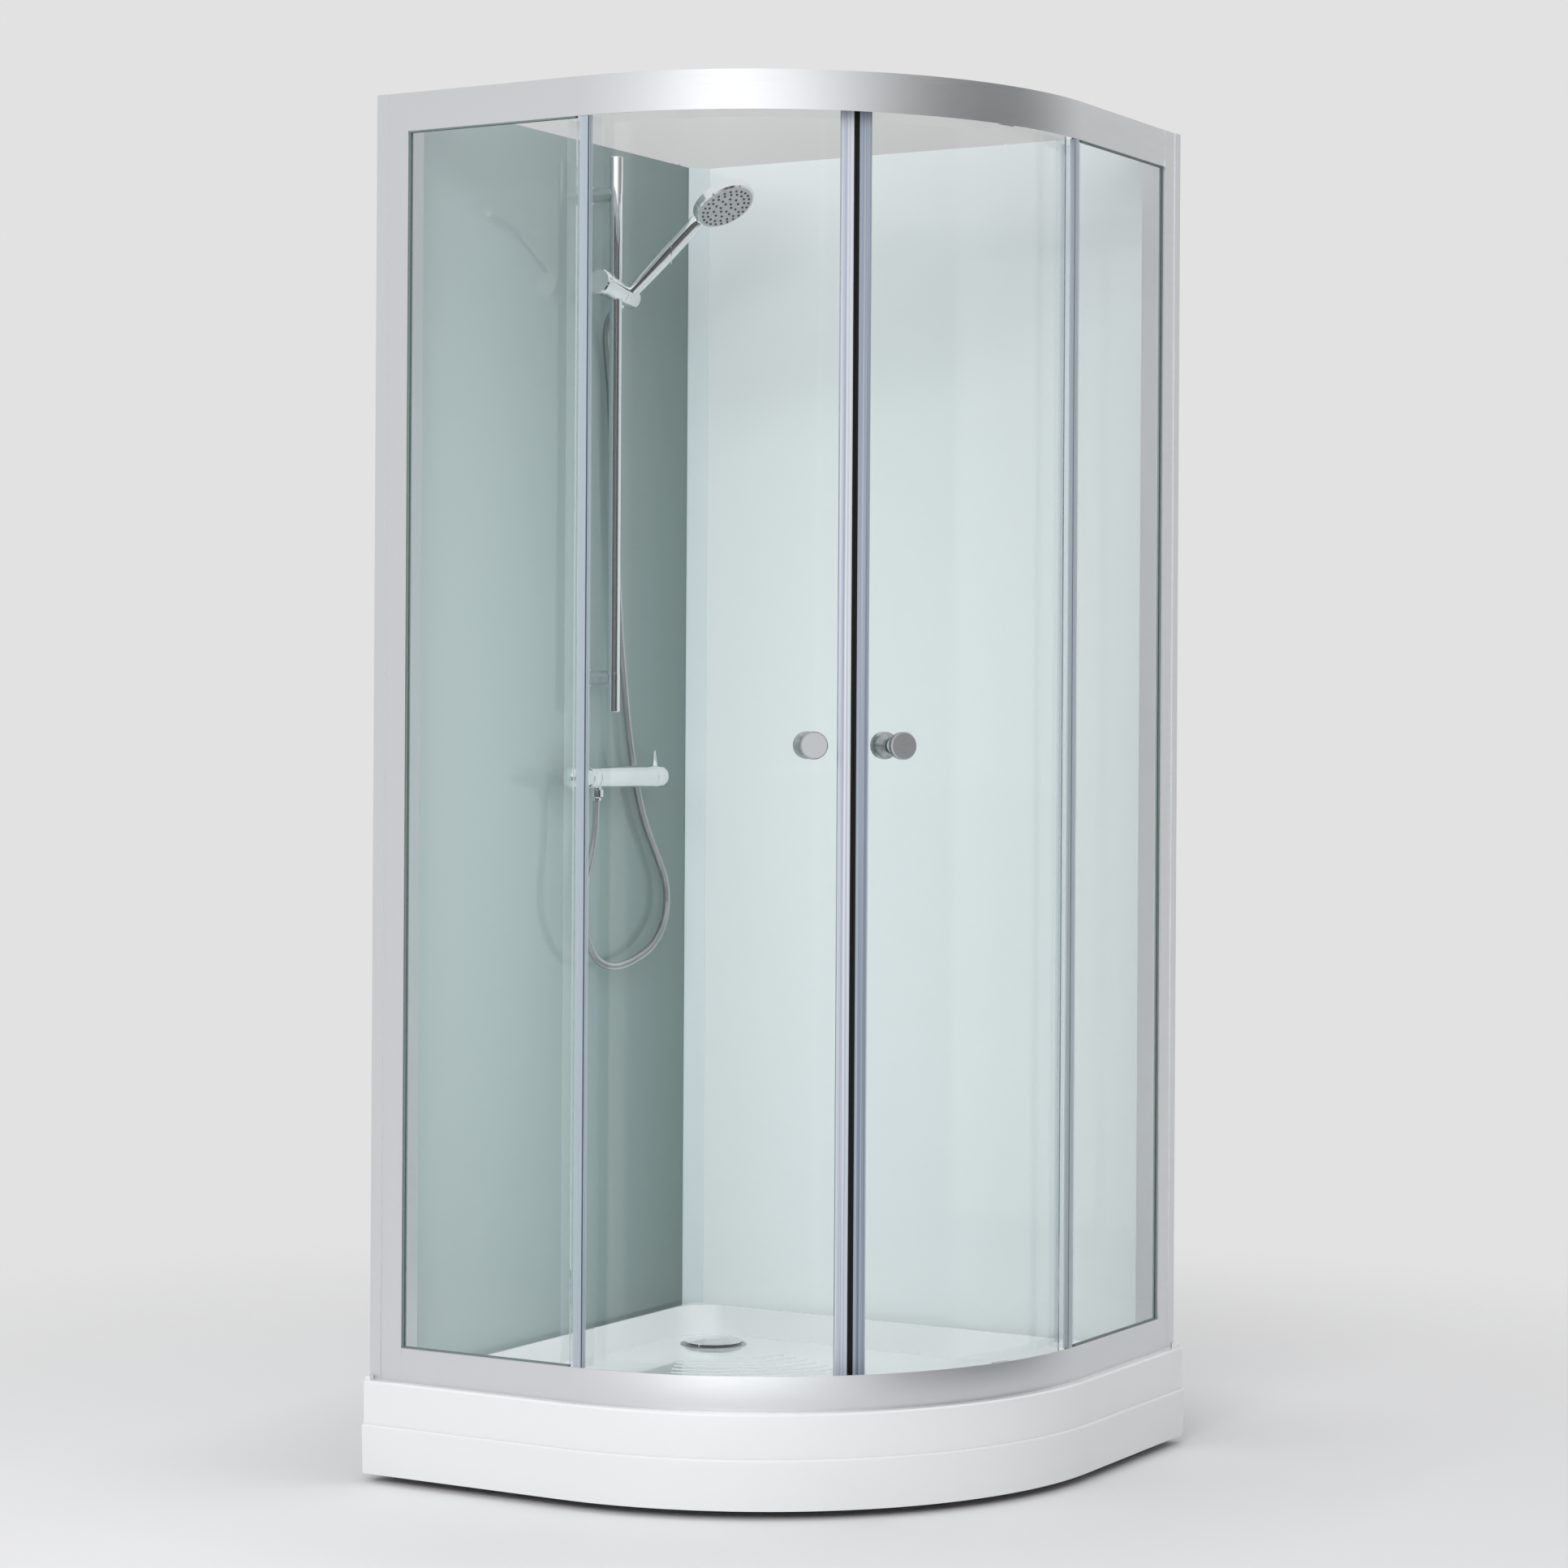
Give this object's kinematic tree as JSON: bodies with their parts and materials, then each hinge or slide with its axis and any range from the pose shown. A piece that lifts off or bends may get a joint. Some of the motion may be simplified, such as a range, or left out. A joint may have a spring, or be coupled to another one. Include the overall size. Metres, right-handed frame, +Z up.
{
  "type": "quadrant shower enclosure",
  "caption": "Quadrant shower enclosure: curved tray, bent aluminium rails, sliding bent-glass doors, rear panels and a bar mixer with riser, handset and hose.",
  "frame": {"origin": "floor level, under the middle of the square footprint", "axes": "+Z up; left wall at -X, right wall at +Y, curved entry towards +X -Y"},
  "size_m": [0.9208, 0.9208, 2.066],
  "materials": {
    "acrylic_white": "gloss",
    "aluminium_satin": "satin",
    "profile_white": "satin",
    "glass_clear": "clear",
    "panel_teal": "gloss",
    "panel_pale": "gloss",
    "chrome": "polished",
    "chromed_plastic": "polished",
    "spray_grey": "matte",
    "rubber_black": "matte",
    "gasket_dark": "matte",
    "seal_clear": "clear",
    "steel": "satin",
    "galvanised": "satin",
    "nylon": "matte",
    "abs_white": "matte"
  },
  "bodies": {
    "enclosure": {"shower_tray": "acrylic_white", "foot_frame": "galvanised", "foot_bolts": "steel", "frame_screws": "steel", "foot_pads": "nylon", "door_stops": "nylon", "waste_flange": "steel", "waste_body": "abs_white", "trap_cup": "abs_white", "waste_gasket": "rubber_black", "top_rail": "aluminium_satin", "bottom_rail": "aluminium_satin", "wall_channel_left": "aluminium_satin", "wall_channel_right": "aluminium_satin", "wall_post_left": "aluminium_satin", "wall_post_right": "aluminium_satin", "roller_tracks": "steel", "fixed_glass_left": "glass_clear", "fixed_glass_right": "glass_clear", "glazing_gasket_left": "gasket_dark", "glazing_gasket_right": "gasket_dark", "fixed_seal_left": "seal_clear", "fixed_seal_right": "seal_clear", "rear_panel_left": "panel_teal", "rear_panel_right": "panel_pale", "corner_profile": "profile_white", "riser_rail": "chrome", "rail_brackets": "chrome", "mixer_body": "chrome", "wall_unions": "chrome", "hose_nut": "chrome", "shower_hose": "chrome"},
    "left_door": {"door_glass_left": "glass_clear", "door_profile_left": "seal_clear", "magnet_strip_left": "rubber_black", "trailing_seal_left": "seal_clear", "door_knob_left": "chrome", "knob_bolt_left": "steel", "roller_brackets_left": "steel", "bottom_guides_left": "nylon"},
    "right_door": {"door_glass_right": "glass_clear", "door_profile_right": "seal_clear", "magnet_strip_right": "rubber_black", "trailing_seal_right": "seal_clear", "door_knob_right": "chrome", "knob_bolt_right": "steel", "roller_brackets_right": "steel", "bottom_guides_right": "nylon"},
    "left_lead_wheel": {"lead_wheel_left": "nylon"},
    "left_tail_wheel": {"tail_wheel_left": "nylon"},
    "right_lead_wheel": {"lead_wheel_right": "nylon"},
    "right_tail_wheel": {"tail_wheel_right": "nylon"},
    "slider": {"slider_body": "chromed_plastic"},
    "slider_clamp": {"slider_knob": "chromed_plastic"},
    "handset_arm": {"handset_holder": "chromed_plastic", "handset": "chromed_plastic", "spray_face": "spray_grey"},
    "temperature_grip": {"temperature_handle": "chrome"},
    "flow_grip": {"flow_handle": "chrome"},
    "cover": {"drain_cover": "chrome"}
  },
  "joints": [
    {"name": "left_door_slide", "type": "hinge", "parent": "enclosure", "child": "left_door", "pos_m": [-0.1105, 0.1105, 1.1], "axis": [0, 0, 1], "range_deg": [-27, 0]},
    {"name": "right_door_slide", "type": "hinge", "parent": "enclosure", "child": "right_door", "pos_m": [-0.1105, 0.1105, 1.1], "axis": [0, 0, 1], "range_deg": [0, 27]},
    {"name": "left_lead_wheel_spin", "type": "hinge", "parent": "left_door", "child": "left_lead_wheel", "pos_m": [0.22153, -0.29229, 2.043], "axis": [0.6361, -0.7716, 0], "continuous": true},
    {"name": "left_tail_wheel_spin", "type": "hinge", "parent": "left_door", "child": "left_tail_wheel", "pos_m": [0.029, -0.39252, 2.043], "axis": [0.2672, -0.9636, 0], "continuous": true},
    {"name": "right_lead_wheel_spin", "type": "hinge", "parent": "right_door", "child": "right_lead_wheel", "pos_m": [0.29229, -0.22153, 2.043], "axis": [0.7716, -0.6361, 0], "continuous": true},
    {"name": "right_tail_wheel_spin", "type": "hinge", "parent": "right_door", "child": "right_tail_wheel", "pos_m": [0.39252, -0.029, 2.043], "axis": [0.9636, -0.2672, 0], "continuous": true},
    {"name": "slider_travel", "type": "slide", "parent": "enclosure", "child": "slider", "axis": [0, 0, 1], "range_m": [-0.56, 0.11], "deforming": ["shower_hose"]},
    {"name": "slider_clamp_turn", "type": "hinge", "parent": "slider", "child": "slider_clamp", "pos_m": [-0.3955, 0.07135, 1.83378], "axis": [0, 0.9816, -0.1908], "range_deg": [-90, 90]},
    {"name": "handset_tilt", "type": "hinge", "parent": "slider", "child": "handset_arm", "pos_m": [-0.3955, 0.15066, 1.81836], "axis": [0, 0.9816, -0.1908], "range_deg": [-20, 25], "deforming": ["shower_hose"]},
    {"name": "temperature_turn", "type": "hinge", "parent": "enclosure", "child": "temperature_grip", "pos_m": [-0.3955, 0.012, 1.041], "axis": [0, 1, 0], "range_deg": [-60, 120]},
    {"name": "flow_turn", "type": "hinge", "parent": "enclosure", "child": "flow_grip", "pos_m": [-0.3955, 0.24, 1.041], "axis": [0, 1, 0], "range_deg": [-45, 45]},
    {"name": "cover_lift", "type": "slide", "parent": "enclosure", "child": "cover", "axis": [0, 0, 1], "range_m": [0, 0.04]}
  ],
  "couplings": [
    {"joint": "left_lead_wheel_spin", "follows": "left_door_slide", "ratio": -53.814},
    {"joint": "left_tail_wheel_spin", "follows": "left_door_slide", "ratio": -53.814},
    {"joint": "right_lead_wheel_spin", "follows": "right_door_slide", "ratio": -53.814},
    {"joint": "right_tail_wheel_spin", "follows": "right_door_slide", "ratio": -53.814}
  ]
}
